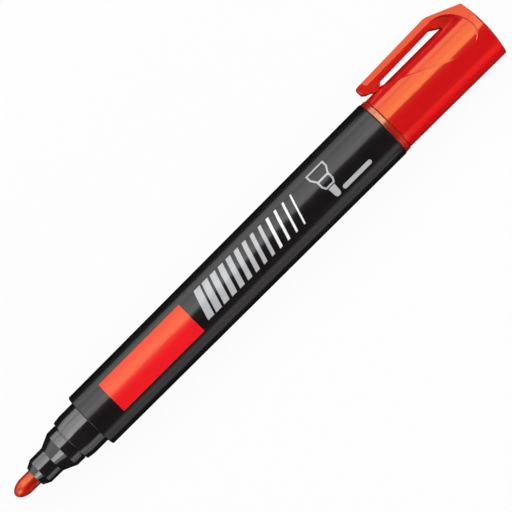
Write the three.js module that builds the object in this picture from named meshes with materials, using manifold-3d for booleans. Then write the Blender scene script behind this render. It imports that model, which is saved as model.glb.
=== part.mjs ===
// Permanent marker with a bullet nib. It lies on a desk with its cap posted on the rear end.
// Millimetres. +X runs along the marker's axis from nib to cap, +Z is up, and the pocket clip points to +Y.
// The pen's pieces are drawn with x = 0 at the barrel's front shoulder, the cap's with x = 0 at its mouth.

import * as THREE from "three";
import { ConvexGeometry } from "three/addons/geometries/ConvexGeometry.js";
import { mergeVertices } from "three/addons/utils/BufferGeometryUtils.js";
import Module from "manifold-3d";

const wasm = await Module();
wasm.setup();

// Faceting: every turned piece has the same sides, with one flat facing each of +Y, -Y, +Z and -Z
const SIDES = 48;
const FILLET_STEPS = 2;
const CURVE_STEPS = 10;

// Barrel: one moulding with a stepped neck at the front and an open rear end
const BARREL_LENGTH = 92.4;
const BARREL_FRONT_RADIUS = 7.17;
const BARREL_REAR_RADIUS = 7.54;
const BARREL_WALL = 1.2;
const SHOULDER_FILLET = 0.45;
const BARREL_REAR_FILLET = 0.3;
const NECK_LENGTH = 6.3;
const NECK_RADIUS = 5.73;
const NECK_LEAD_LENGTH = 1.9;
const NECK_LEAD_DROP = 0.28;
const NECK_BORE_RADIUS = 4.3;
const CHAMBER_FRONT_WALL = 1.6;
const CENTRING_RIBS = 6;
const CENTRING_RIB_WIDTH = 0.8;
const CENTRING_RIB_HEIGHT = 0.45;

// Nib holder: the nose that is pressed into the neck
const NOSE_RADIUS = 3.49;
const NOSE_LENGTH = 5.4;
const NOSE_CHAMFER_LENGTH = 1.75;
const NOSE_FACE_RADIUS = 2.6;
const CONE_LENGTH = 3.2;
const FLANGE_RADIUS = 4.94;
const FLANGE_LENGTH = 2.38;
const GROOVE_WIDTH = 0.3;
const SEAT_WIDTH = 0.35;
const HOLDER_SPIGOT_LENGTH = 7.6;
const AIR_CHANNEL_DEPTH = 0.9;
const GRIP_RIBS = 4;
const GRIP_RIB_WIDTH = 1.0;
const GRIP_RIB_ROOT = 0.2;

// Nib: a pressed fibre rod with a bullet point
const NIB_RADIUS = 2.0;
const NIB_REACH = 6.15;
const NIB_POINT_LENGTH = 3.5;
const NIB_IN_RESERVOIR = 5.0;
const NIB_TAIL_CHAMFER = 0.6;

// Ink reservoir: a fibre rod in a thin film
const FILM_THICKNESS = 0.15;
const RESERVOIR_EDGE = 0.4;

// End plug: closes the barrel and carries the posted cap on its tail
const PLUG_SPIGOT_LENGTH = 8.0;
const PLUG_FLANGE_LENGTH = 1.4;
const PLUG_FLANGE_STEP = 0.14;
const PLUG_FLANGE_DRAFT = 0.09;
const PLUG_FLANGE_FILLET = 0.12;
const PLUG_WALL = 1.15;
const TAIL_RADIUS = 5.7;
const TAIL_LENGTH = 12.0;
const TAIL_LEAD = 0.9;

// Cap: a drafted tube, drawn from its mouth at x = 0, with a low dome whose top lies towards the clip
const CAP_LENGTH = 31.0;
const CAP_MOUTH_RADIUS = 7.15;
const CAP_END_RADIUS = 7.35;
const CAP_MOUTH_EDGE = 0.15;
const CAP_DOME_RADIUS = 33.5;
const CAP_DOME_SHIFT = 0.9;
const CAP_BORE_MOUTH_RADIUS = 5.85;
const CAP_BORE_END_RADIUS = 5.7;
const CAP_END_WALL = 1.4;

// Cap liner: the soft inner cup that seals round the nose
const LINER_WALL = 0.95;
const LINER_END_WALL = 1.0;
const LINER_LIP_LENGTH = 0.6;
const LINER_LIP_FLARE = 0.4;
const LINER_LAND_LENGTH = 3.4;
const LINER_RELIEF = 0.25;
const LINER_BASE_LENGTH = 3.4;

// Pocket clip: heights are distances from the cap's axis
const CLIP_WIDTH = 4.6;
const CLIP_THICKNESS = 2.82;
const CLIP_SETBACK = 0.1;
const CLIP_TIP_HEIGHT = 10.64;
const CLIP_BEND_HEIGHT = 11.13;
const CLIP_TIP_FILLET = 0.45;
const CLIP_TIP_BLOCK = 1.9;
const CLIP_TIP_BLOCK_SLANT = 0.5;
const RIDGE_TILT = THREE.MathUtils.degToRad(56.6);
const RIDGE_INSET = 0.08;
const SHOULDER_LENGTH = 8.8;
const SHOULDER_END_HEIGHT = 7.22;
const BEND_FILLET = 0.6;
const INNER_BEND_PLACE = 10.0;
const NOTCH_PLACE = 7.8;
const FOOT_PLACE = 3.5;
const FOOT_WIDTH = 1.1;
const FOOT_FRONT_RUN = 2.05;
const FOOT_REAR_RUN = 1.4;
const CLIP_CHIN_HEIGHT = 8.62;

// Side pockets: sunken fields beside the clip, bounded by a slanting line and a rounded end
const POCKET_DEPTH = 0.37;
const POCKET_LOW = -1.2;
const POCKET_MID = 2.5;
const POCKET_END_BAND = 2.4;
const POCKET_LOW_ARC = 4.1;
const POCKET_LINE_SETBACK = 1.0;
const POCKET_LINE_END = 9.1;

// Clearances
const PRESS_CLEARANCE = 0.05;
const NIB_CLEARANCE = 0.05;
const FILM_CLEARANCE = 0.1;
const END_CLEARANCE = 0.2;
const CAP_SEAT_GAP = 0.1;
const LINER_CLEARANCE = 0.08;
const NOSE_SEAL_CLEARANCE = 0.05;
const TAIL_TO_LINER_GAP = 1.2;
const FOOT_GAP = 0.1;
const CLIP_SPLIT_GAP = 0.3;
const CLIP_SPLIT_SETBACK = 0.6;
const OVERSHOOT = 2.0;

// Places along the pen, from the barrel's front shoulder
const neckFront = -NECK_LENGTH;
const flangeRear = neckFront - GROOVE_WIDTH;
const flangeFront = flangeRear - FLANGE_LENGTH;
const coneFront = flangeFront - CONE_LENGTH;
const noseFront = coneFront - NOSE_LENGTH;
const nibTip = noseFront - NIB_REACH;
const plugFront = BARREL_LENGTH - PLUG_SPIGOT_LENGTH;
const reservoirFront = CHAMBER_FRONT_WALL + END_CLEARANCE;
const reservoirRear = plugFront - END_CLEARANCE;
const flangeBack = BARREL_LENGTH + PLUG_FLANGE_LENGTH;
const capMouth = flangeBack + CAP_SEAT_GAP;
const capTop = capMouth + CAP_LENGTH;

// Radii that follow from the ones above
const boreFrontRadius = BARREL_FRONT_RADIUS - BARREL_WALL;
const boreRearRadius = BARREL_REAR_RADIUS - BARREL_WALL;
const plugFlangeRadius = BARREL_REAR_RADIUS - PLUG_FLANGE_STEP;
const ribInnerRadius = boreFrontRadius - CENTRING_RIB_HEIGHT;
const filmOuterRadius = ribInnerRadius - FILM_CLEARANCE;
const reservoirRadius = filmOuterRadius - FILM_THICKNESS - FILM_CLEARANCE;
const nibBoreRadius = NIB_RADIUS + NIB_CLEARANCE;
const airBoreRadius = nibBoreRadius + AIR_CHANNEL_DEPTH;

// Places on the cap, from its mouth
const bendX = CAP_LENGTH - SHOULDER_LENGTH;
const innerBendX = CAP_LENGTH - INNER_BEND_PLACE;
const notchX = CAP_LENGTH - NOTCH_PLACE;
const splitX = notchX - CLIP_SPLIT_SETBACK;
const pocketEndX = CAP_LENGTH - POCKET_END_BAND;
const pocketLineX = FOOT_PLACE + POCKET_LINE_SETBACK;
const pocketTop = CAP_END_RADIUS + PRESS_CLEARANCE;
const pocketFloor = capRadiusAt(bendX) - POCKET_DEPTH;
const linerMouth = TAIL_LENGTH - CAP_SEAT_GAP + TAIL_TO_LINER_GAP;
const linerEnd = CAP_LENGTH - CAP_END_WALL - LINER_CLEARANCE;
const linerLandRadius = NOSE_RADIUS + NOSE_SEAL_CLEARANCE;

// The value at x of the straight line through (x0, y0) and (x1, y1).
function along(x, x0, y0, x1, y1) {
  return y0 + ((y1 - y0) * (x - x0)) / (x1 - x0);
}

function barrelBoreAt(x) {
  return along(x, 0, boreFrontRadius, BARREL_LENGTH, boreRearRadius);
}

function capRadiusAt(x) {
  return along(x, 0, CAP_MOUTH_RADIUS, CAP_LENGTH, CAP_END_RADIUS);
}

function capBoreAt(x) {
  return along(x, 0, CAP_BORE_MOUTH_RADIUS, CAP_LENGTH - CAP_END_WALL, CAP_BORE_END_RADIUS);
}

function clipTopAt(x) {
  return along(x, CLIP_SETBACK, CLIP_TIP_HEIGHT, bendX, CLIP_BEND_HEIGHT);
}

// Height of the ridge's bevel above the axis where it is z wide, at x on the cap.
function ridgeHeightAt(x, z) {
  const reach = capRadiusAt(x) - RIDGE_INSET;
  return (reach - z * Math.sin(RIDGE_TILT)) / Math.cos(RIDGE_TILT);
}

// A closed outline through corners given as [x, y] or [x, y, fillet].
function outline(corners) {
  const shape = new THREE.Shape();
  corners.forEach(([x, y, fillet = 0], i) => {
    const here = new THREE.Vector2(x, y);
    const [lastX, lastY] = corners.at(i - 1);
    const [nextX, nextY] = corners[(i + 1) % corners.length];
    const back = new THREE.Vector2(lastX, lastY).sub(here);
    const ahead = new THREE.Vector2(nextX, nextY).sub(here);
    const wanted = fillet / Math.tan(back.angleTo(ahead) / 2);
    const run = Math.min(wanted, back.length() / 2, ahead.length() / 2);
    const start = here.clone().addScaledVector(back.normalize(), run);
    const end = here.clone().addScaledVector(ahead.normalize(), run);
    if (i === 0) shape.moveTo(start.x, start.y);
    else shape.lineTo(start.x, start.y);
    if (fillet > 0) shape.quadraticCurveTo(x, y, end.x, end.y);
  });
  shape.closePath();
  return shape;
}

// A three.js geometry as a solid that can be joined and cut.
function solidOf(geometry) {
  const bare = geometry.index ? geometry.toNonIndexed() : geometry.clone();
  bare.deleteAttribute("normal");
  bare.deleteAttribute("uv");
  const merged = mergeVertices(bare, 1e-4);
  return new wasm.Manifold(
    new wasm.Mesh({
      numProp: 3,
      vertProperties: new Float32Array(merged.attributes.position.array),
      triVerts: new Uint32Array(merged.index.array),
    }),
  );
}

function geometryOf(solid) {
  const mesh = solid.getMesh();
  const geometry = new THREE.BufferGeometry();
  geometry.setAttribute("position", new THREE.BufferAttribute(mesh.vertProperties, 3));
  geometry.setIndex(new THREE.BufferAttribute(mesh.triVerts, 1));
  geometry.computeVertexNormals();
  return geometry;
}

// A solid of revolution about the X axis from an outline of places along X against radii.
// Its flats, not its corners, lie at the stated radii.
function turned(corners) {
  const points = outline(corners)
    .getPoints(FILLET_STEPS)
    .map((p) => new THREE.Vector2(p.y / Math.cos(Math.PI / SIDES), p.x));
  if (THREE.ShapeUtils.isClockWise(points)) points.reverse();
  const geometry = new THREE.LatheGeometry(points, SIDES, Math.PI / SIDES);
  geometry.rotateZ(-Math.PI / 2);
  return solidOf(geometry);
}

// A prism of an outline in the XY plane, from z = low to z = high.
function prism(shape, low, high) {
  const geometry = new THREE.ExtrudeGeometry(shape, {
    depth: high - low,
    bevelEnabled: false,
    curveSegments: CURVE_STEPS,
  });
  geometry.translate(0, 0, low);
  return solidOf(geometry);
}

// Ribs along the axis, drawn as an outline of places along X against radii, spread evenly round it.
function ribs(count, width, corners) {
  const rib = prism(outline(corners), -width / 2, width / 2);
  return Array.from({ length: count }, (_, i) => rib.rotate([(i * 360) / count, 0, 0]));
}

function barrel() {
  const shell = turned([
    [neckFront, NECK_BORE_RADIUS],
    [neckFront, NECK_RADIUS - NECK_LEAD_DROP, 0.1],
    [neckFront + NECK_LEAD_LENGTH, NECK_RADIUS],
    [0, NECK_RADIUS],
    [0, BARREL_FRONT_RADIUS, SHOULDER_FILLET],
    [BARREL_LENGTH, BARREL_REAR_RADIUS, BARREL_REAR_FILLET],
    [BARREL_LENGTH, boreRearRadius],
    [CHAMBER_FRONT_WALL, barrelBoreAt(CHAMBER_FRONT_WALL)],
    [CHAMBER_FRONT_WALL, NECK_BORE_RADIUS],
  ]);
  const ribFront = CHAMBER_FRONT_WALL - END_CLEARANCE;
  const ribRear = plugFront - END_CLEARANCE;
  const rootDepth = BARREL_WALL / 3;
  const centringRibs = ribs(CENTRING_RIBS, CENTRING_RIB_WIDTH, [
    [ribFront, ribInnerRadius],
    [ribRear, ribInnerRadius],
    [ribRear, barrelBoreAt(ribRear) + rootDepth],
    [ribFront, barrelBoreAt(ribFront) + rootDepth],
  ]);
  return centringRibs.reduce((sum, rib) => sum.add(rib), shell);
}

function nibHolder() {
  const spigotRadius = NECK_BORE_RADIUS - PRESS_CLEARANCE;
  const spigotRear = neckFront + HOLDER_SPIGOT_LENGTH;
  const body = turned([
    [noseFront, nibBoreRadius],
    [noseFront, NOSE_FACE_RADIUS, 0.15],
    [noseFront + NOSE_CHAMFER_LENGTH, NOSE_RADIUS, 0.4],
    [coneFront, NOSE_RADIUS, 0.6],
    [flangeFront, FLANGE_RADIUS, 0.4],
    [flangeRear, FLANGE_RADIUS, 0.12],
    [flangeRear, NECK_BORE_RADIUS + SEAT_WIDTH],
    [neckFront, NECK_BORE_RADIUS + SEAT_WIDTH],
    [neckFront, spigotRadius],
    [spigotRear, spigotRadius, 0.3],
    [spigotRear, airBoreRadius],
    [coneFront, airBoreRadius],
    [coneFront, nibBoreRadius],
  ]);
  const gripRibs = ribs(GRIP_RIBS, GRIP_RIB_WIDTH, [
    [coneFront - END_CLEARANCE, nibBoreRadius],
    [spigotRear - END_CLEARANCE, nibBoreRadius],
    [spigotRear - END_CLEARANCE, airBoreRadius + GRIP_RIB_ROOT],
    [coneFront - END_CLEARANCE, airBoreRadius + GRIP_RIB_ROOT],
  ]);
  return gripRibs.reduce((sum, rib) => sum.add(rib), body);
}

function nib() {
  const steps = 7;
  const point = Array.from({ length: steps + 1 }, (_, i) => {
    const turn = (i * Math.PI) / (2 * steps);
    const x = nibTip + NIB_POINT_LENGTH * (1 - Math.cos(turn));
    return [x, NIB_RADIUS * Math.sin(turn)];
  });
  const tail = reservoirFront + NIB_IN_RESERVOIR;
  return turned([
    ...point,
    [tail - NIB_TAIL_CHAMFER, NIB_RADIUS],
    [tail, NIB_RADIUS - NIB_TAIL_CHAMFER],
    [tail, 0],
  ]);
}

function inkReservoir() {
  const socketEnd = reservoirFront + NIB_IN_RESERVOIR + END_CLEARANCE;
  return turned([
    [reservoirFront, nibBoreRadius],
    [reservoirFront, reservoirRadius, RESERVOIR_EDGE],
    [reservoirRear, reservoirRadius, RESERVOIR_EDGE],
    [reservoirRear, 0],
    [socketEnd, 0],
    [socketEnd, nibBoreRadius],
  ]);
}

function reservoirFilm() {
  const inner = filmOuterRadius - FILM_THICKNESS;
  return turned([
    [reservoirFront, inner],
    [reservoirFront, filmOuterRadius],
    [reservoirRear, filmOuterRadius],
    [reservoirRear, inner],
  ]);
}

function endPlug() {
  const spigotRadius = barrelBoreAt(plugFront) - PRESS_CLEARANCE;
  const hollowRadius = TAIL_RADIUS - PLUG_WALL;
  const tailEnd = flangeBack + TAIL_LENGTH;
  return turned([
    [plugFront, hollowRadius],
    [plugFront, spigotRadius, 0.4],
    [BARREL_LENGTH, spigotRadius],
    [BARREL_LENGTH, plugFlangeRadius, PLUG_FLANGE_FILLET],
    [flangeBack, plugFlangeRadius - PLUG_FLANGE_DRAFT, PLUG_FLANGE_FILLET],
    [flangeBack, TAIL_RADIUS],
    [tailEnd - TAIL_LEAD, TAIL_RADIUS, 0.4],
    [tailEnd, TAIL_RADIUS - TAIL_LEAD / 2, 0.3],
    [tailEnd, 0],
    [tailEnd - PLUG_WALL, 0],
    [tailEnd - PLUG_WALL, hollowRadius, 0.5],
  ]);
}

// Everything below the cap's domed end.
function underDome() {
  const steps = 6;
  const reach = 2 * CAP_END_RADIUS;
  const rings = Array.from({ length: steps + 1 }, (_, i) => {
    const radius = reach * (1 - i / steps);
    return [CAP_LENGTH - CAP_DOME_RADIUS + Math.sqrt(CAP_DOME_RADIUS ** 2 - radius ** 2), radius];
  });
  return turned([[-OVERSHOOT, 0], [-OVERSHOOT, reach], ...rings]).translate([0, CAP_DOME_SHIFT, 0]);
}

// Cap body without its bore.
function capBody() {
  return turned([
    [0, 0],
    [0, CAP_MOUTH_RADIUS, CAP_MOUTH_EDGE],
    [CAP_LENGTH, CAP_END_RADIUS],
    [CAP_LENGTH + OVERSHOOT, CAP_END_RADIUS],
    [CAP_LENGTH + OVERSHOOT, 0],
  ]).intersect(underDome());
}

function capBore() {
  const end = CAP_LENGTH - CAP_END_WALL;
  return turned([
    [-OVERSHOOT, 0],
    [-OVERSHOOT, CAP_BORE_MOUTH_RADIUS + CAP_MOUTH_EDGE],
    [0, CAP_BORE_MOUTH_RADIUS + CAP_MOUTH_EDGE],
    [CAP_MOUTH_EDGE, CAP_BORE_MOUTH_RADIUS],
    [end, CAP_BORE_END_RADIUS, 0.4],
    [end, 0],
  ]);
}

// The cap and clip seen from the side: arm, foot and shoulder, with a root that runs on into the cap.
function clipSideShape() {
  const top = (x) => along(x, bendX, CLIP_BEND_HEIGHT, CAP_LENGTH, SHOULDER_END_HEIGHT);
  const past = CAP_LENGTH + OVERSHOOT;
  const rootHeight = pocketFloor - OVERSHOOT;
  const footHeight = capRadiusAt(FOOT_PLACE) + FOOT_GAP;
  const footFront = FOOT_PLACE - FOOT_WIDTH / 2;
  const footRear = FOOT_PLACE + FOOT_WIDTH / 2;
  const underside = (x) => clipTopAt(x) - CLIP_THICKNESS;
  return outline([
    [CLIP_SETBACK, CLIP_TIP_HEIGHT, CLIP_TIP_FILLET],
    [bendX, CLIP_BEND_HEIGHT, BEND_FILLET],
    [past, top(past)],
    [past, rootHeight],
    [notchX + OVERSHOOT, rootHeight],
    [notchX, pocketFloor],
    [innerBendX, underside(innerBendX), 0.3],
    [footRear + FOOT_REAR_RUN, underside(footRear + FOOT_REAR_RUN), 0.3],
    [footRear, footHeight],
    [footFront, footHeight],
    [footFront - FOOT_FRONT_RUN, underside(0) + FOOT_GAP, 0.4],
    [CLIP_SETBACK, CLIP_CHIN_HEIGHT, 0.3],
  ]);
}

// The ridge's two bevels follow planes that touch the drafted cap, like the sides of a drop.
function ridgeWedge() {
  const reachAt = (x) => capRadiusAt(x) - RIDGE_INSET;
  const section = (x) => {
    const peak = ridgeHeightAt(x, 0);
    const sideZ = reachAt(x) * Math.sin(RIDGE_TILT);
    const sideY = reachAt(x) * Math.cos(RIDGE_TILT);
    return [
      new THREE.Vector3(x, peak, 0),
      new THREE.Vector3(x, sideY, sideZ),
      new THREE.Vector3(x, sideY, -sideZ),
      new THREE.Vector3(x, 0, 0),
    ];
  };
  return solidOf(new ConvexGeometry([...section(-OVERSHOOT), ...section(CAP_LENGTH + OVERSHOOT)]));
}

// What stands out of the round cap: the arm with its bevels, the shoulder and the fan at its root.
function clipRidge() {
  const side = clipSideShape();
  const bevelled = ridgeWedge().intersect(prism(side, -CAP_END_RADIUS, CAP_END_RADIUS));
  const block = prism(
    outline([
      [CLIP_SETBACK - OVERSHOOT, CLIP_BEND_HEIGHT + OVERSHOOT],
      [CLIP_TIP_BLOCK, CLIP_BEND_HEIGHT],
      [CLIP_TIP_BLOCK + CLIP_TIP_BLOCK_SLANT, ridgeHeightAt(CLIP_TIP_BLOCK, CLIP_WIDTH / 2)],
      [CLIP_TIP_BLOCK, pocketTop],
      [CLIP_SETBACK - OVERSHOOT, pocketTop],
    ]),
    -CLIP_WIDTH / 2,
    CLIP_WIDTH / 2,
  );
  const tip = block.intersect(prism(side, -CLIP_WIDTH / 2, CLIP_WIDTH / 2));
  return bevelled.intersect(underDome()).add(tip);
}

// Outline of a side pocket: the slanting line from the clip's foot, a low edge, and a rounded end
// that runs up into the lower edge of the clip's bevel.
function pocketShape() {
  const above = CLIP_BEND_HEIGHT + OVERSHOOT;
  const bevelEdge = ridgeHeightAt(bendX, CLIP_WIDTH / 2);
  const lowArcX = pocketEndX - POCKET_LOW_ARC;
  const shape = new THREE.Shape();
  shape.moveTo(-OVERSHOOT, above);
  shape.lineTo(-OVERSHOOT, pocketTop);
  shape.lineTo(pocketLineX, pocketTop);
  shape.lineTo(CAP_LENGTH - POCKET_LINE_END, POCKET_LOW);
  shape.lineTo(lowArcX, POCKET_LOW);
  shape.absellipse(lowArcX, POCKET_MID, POCKET_LOW_ARC, POCKET_MID - POCKET_LOW, -Math.PI / 2, 0);
  shape.absellipse(bendX, POCKET_MID, pocketEndX - bendX, bevelEdge - POCKET_MID, 0, Math.PI / 2);
  shape.lineTo(bendX, above);
  shape.closePath();
  return shape;
}

// The floor of the pockets: a cylinder set off from the clip, so that the pockets fade out round the cap.
function pocketCore() {
  const wall = capRadiusAt(bendX);
  const shift = (wall ** 2 - pocketFloor ** 2) / (2 * (pocketFloor - POCKET_LOW));
  const core = turned([
    [-2 * OVERSHOOT, 0],
    [-2 * OVERSHOOT, pocketFloor + shift],
    [CAP_LENGTH + 2 * OVERSHOOT, pocketFloor + shift],
    [CAP_LENGTH + 2 * OVERSHOOT, 0],
  ]);
  return core.translate([0, -shift, 0]);
}

function sidePockets() {
  const shape = pocketShape();
  const far = CAP_END_RADIUS + OVERSHOOT;
  const near = CLIP_WIDTH / 2;
  return prism(shape, near, far).add(prism(shape, -far, -near)).subtract(pocketCore());
}

// The strip of the same recess that passes under the clip's arm.
function underClipRecess() {
  const low = pocketFloor - OVERSHOOT;
  const lineEndX = CAP_LENGTH - POCKET_LINE_END;
  const lineLowX = along(low, pocketTop, pocketLineX, POCKET_LOW, lineEndX);
  const strip = outline([
    [pocketLineX, pocketTop],
    [lineLowX, low],
    [notchX, low],
    [notchX, pocketTop],
  ]);
  return prism(strip, -CLIP_WIDTH / 2, CLIP_WIDTH / 2).subtract(pocketCore());
}

// A block that holds everything between two places along the cap.
function slab(low, high) {
  const size = 4 * CAP_END_RADIUS;
  const geometry = new THREE.BoxGeometry(high - low, size, size);
  geometry.translate((low + high) / 2, 0, 0);
  return solidOf(geometry);
}

function capShell(ridge, pockets) {
  const root = ridge.intersect(slab(splitX + CLIP_SPLIT_GAP / 2, CAP_LENGTH + OVERSHOOT));
  return capBody().subtract(underClipRecess()).add(root).subtract(pockets).subtract(capBore());
}

function pocketClip(ridge) {
  const reach = 2 * CLIP_BEND_HEIGHT;
  const arm = outline([
    [-OVERSHOOT, -reach],
    [splitX - CLIP_SPLIT_GAP / 2, -reach],
    [splitX - CLIP_SPLIT_GAP / 2, reach],
    [-OVERSHOOT, reach],
  ]);
  return ridge.intersect(prism(arm, -CLIP_WIDTH / 2, CLIP_WIDTH / 2));
}

function capLiner() {
  const baseRadius = capBoreAt(linerEnd) - LINER_CLEARANCE;
  const baseFront = linerEnd - LINER_BASE_LENGTH;
  const reliefRadius = linerLandRadius + LINER_RELIEF;
  const sleeveRadius = linerLandRadius + LINER_WALL;
  const landEnd = linerMouth + LINER_LIP_LENGTH + LINER_LAND_LENGTH;
  return turned([
    [linerMouth, linerLandRadius + LINER_LIP_FLARE],
    [linerMouth, sleeveRadius, 0.1],
    [baseFront, sleeveRadius, 0.3],
    [baseFront, baseRadius, 0.3],
    [linerEnd, baseRadius, 0.4],
    [linerEnd, 0],
    [linerEnd - LINER_END_WALL, 0],
    [linerEnd - LINER_END_WALL, reliefRadius, 0.6],
    [landEnd + LINER_RELIEF, reliefRadius],
    [landEnd, linerLandRadius],
    [linerMouth + LINER_LIP_LENGTH, linerLandRadius],
  ]);
}

const blackPlastic = { color: 0x1b1819, roughness: 0.35, metalness: 0 };
const redPlastic = { color: 0xcf1a1f, roughness: 0.3, metalness: 0 };
const FINISHES = {
  barrel: blackPlastic,
  nib_holder: { color: 0x1b1819, roughness: 0.22, metalness: 0 },
  nib: { color: 0xd23a22, roughness: 0.85, metalness: 0 },
  ink_reservoir: { color: 0xa3161b, roughness: 0.95, metalness: 0 },
  reservoir_film: { color: 0xe9e6e0, roughness: 0.4, metalness: 0 },
  end_plug: { color: 0xa8481f, roughness: 0.3, metalness: 0 },
  cap_shell: redPlastic,
  cap_liner: { color: 0xe7e2d8, roughness: 0.45, metalness: 0 },
  pocket_clip: redPlastic,
};

function piece(name, solid) {
  const mesh = new THREE.Mesh(geometryOf(solid), new THREE.MeshStandardMaterial(FINISHES[name]));
  mesh.name = name;
  return mesh;
}

function buildPen() {
  const pen = new THREE.Group();
  pen.add(
    piece("barrel", barrel()),
    piece("nib_holder", nibHolder()),
    piece("nib", nib()),
    piece("ink_reservoir", inkReservoir()),
    piece("reservoir_film", reservoirFilm()),
    piece("end_plug", endPlug()),
  );
  return pen;
}

function buildCap() {
  const ridge = clipRidge();
  const pockets = sidePockets();
  const cap = new THREE.Group();
  cap.add(
    piece("cap_shell", capShell(ridge, pockets)),
    piece("cap_liner", capLiner()),
    piece("pocket_clip", pocketClip(ridge)),
  );
  cap.position.x = capMouth;
  return cap;
}

// The origin is below the middle of the whole marker, on the desk.
const marker = new THREE.Group();
marker.add(buildPen(), buildCap());
marker.position.set(
  -(nibTip + capTop) / 2,
  -(CLIP_BEND_HEIGHT - BARREL_REAR_RADIUS) / 2,
  BARREL_REAR_RADIUS,
);

export default marker;
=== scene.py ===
import math

import bmesh
import bpy
import numpy as np
from mathutils import Matrix, Vector


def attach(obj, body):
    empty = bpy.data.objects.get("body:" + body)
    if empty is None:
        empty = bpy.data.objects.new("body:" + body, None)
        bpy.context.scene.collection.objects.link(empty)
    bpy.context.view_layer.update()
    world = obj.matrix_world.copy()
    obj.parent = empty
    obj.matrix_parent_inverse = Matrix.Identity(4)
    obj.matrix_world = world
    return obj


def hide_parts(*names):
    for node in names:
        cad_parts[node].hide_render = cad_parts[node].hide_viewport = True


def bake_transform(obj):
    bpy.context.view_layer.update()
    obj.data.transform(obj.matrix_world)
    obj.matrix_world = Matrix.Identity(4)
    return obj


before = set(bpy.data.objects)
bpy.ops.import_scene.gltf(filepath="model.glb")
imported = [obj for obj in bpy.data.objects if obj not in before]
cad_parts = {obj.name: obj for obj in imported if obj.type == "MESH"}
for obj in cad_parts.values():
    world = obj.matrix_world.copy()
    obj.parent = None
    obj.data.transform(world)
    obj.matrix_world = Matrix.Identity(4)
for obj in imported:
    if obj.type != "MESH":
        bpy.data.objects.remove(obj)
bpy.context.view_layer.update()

# Lengths are in millimetres until make_mesh puts them in the frame. The pen's x runs from the
# barrel's front shoulder, the cap's from its mouth, and y and z from the marker's axis. The clip is
# on the +Y side and the print on the +Z side.
SHOULDER = np.array([-50.585, -1.795, 7.54])
MOUTH = np.array([43.315, -1.795, 7.54])
METRE = 1000
TINY = 0.001

TURN_STEPS = 192
NIB_STEPS = 96
ON_AXIS = 1e-6
# A fillet takes up less than half of each line beside it
FILLET_SHARE = 0.49

# Outlines of the turned pieces, as (x, radius, fillet) corners
BARREL_LENGTH = 92.4
BARREL_FRONT_RADIUS = 7.17
BARREL_REAR_RADIUS = 7.54
BODY_STEP = 1.6
BODY_STEP_BORE = 5.0
BODY_OUTLINE = [
    (0, BODY_STEP_BORE),
    (0, BARREL_FRONT_RADIUS, 0.3),
    (BARREL_LENGTH, BARREL_REAR_RADIUS, 0.3),
    (BARREL_LENGTH, 6.34, 0.05),
    (BODY_STEP, 5.98),
    (BODY_STEP, BODY_STEP_BORE),
]

NECK_FRONT = -6.3
NECK_REAR = 0.9
NECK_RADIUS = 5.73
NECK_BORE = 4.3
NECK_OUTLINE = [
    (NECK_FRONT, NECK_BORE, 0.05),
    (NECK_FRONT, 5.47, 0.14),
    (-4.35, NECK_RADIUS, 1.2),
    (NECK_REAR, NECK_RADIUS),
    (NECK_REAR, NECK_BORE),
]

NOSE_FRONT = -17.58
NOSE_STEP = -12.18
NOSE_BAND_REAR = -6.6
NOSE_GROOVE_RADIUS = 4.65
NOSE_SPIGOT_RADIUS = 4.25
NOSE_REAR = 1.3
NOSE_NIB_HOLE = 2.05
NOSE_SOCKET = 2.95
NOSE_OUTLINE = [
    (NOSE_FRONT, NOSE_NIB_HOLE, 0.06),
    (NOSE_FRONT, 2.58, 0.12),
    (-15.85, 3.47, 0.35),
    (NOSE_STEP, 3.49, 0.5),
    (-8.98, 4.92, 0.3),
    (NOSE_BAND_REAR, 4.94, 0.1),
    (NOSE_BAND_REAR, NOSE_GROOVE_RADIUS),
    (NECK_FRONT, NOSE_GROOVE_RADIUS),
    (NECK_FRONT, NOSE_SPIGOT_RADIUS),
    (NOSE_REAR, NOSE_SPIGOT_RADIUS, 0.3),
    (NOSE_REAR, NOSE_SOCKET),
    (NOSE_STEP, NOSE_SOCKET),
    (NOSE_STEP, NOSE_NIB_HOLE),
]

NIB_TIP = -23.73
NIB_POINT_LENGTH = 3.5
NIB_POINT_STEPS = 24
NIB_RADIUS = 2.0
NIB_REAR = 6.8
NIB_TAIL = [(6.2, NIB_RADIUS), (NIB_REAR, 1.4), (NIB_REAR, 0)]

PLUG_FRONT = 84.4
PLUG_BORE = 4.55
PLUG_BORE_END = 104.65
PLUG_RING_REAR = 93.8
PLUG_TAIL_RADIUS = 5.7
PLUG_TAIL_END = 105.8
PLUG_OUTLINE = [
    (PLUG_FRONT, PLUG_BORE),
    (PLUG_FRONT, 6.25, 0.4),
    (BARREL_LENGTH, 6.29),
    (BARREL_LENGTH, 7.39, 0.14),
    (PLUG_RING_REAR, 7.3, 0.14),
    (PLUG_RING_REAR, PLUG_TAIL_RADIUS, 0.1),
    (104.9, PLUG_TAIL_RADIUS, 0.8),
    (PLUG_TAIL_END, 5.25, 0.4),
    (PLUG_TAIL_END, 0),
    (PLUG_BORE_END, 0),
    (PLUG_BORE_END, PLUG_BORE, 0.5),
]

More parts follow.
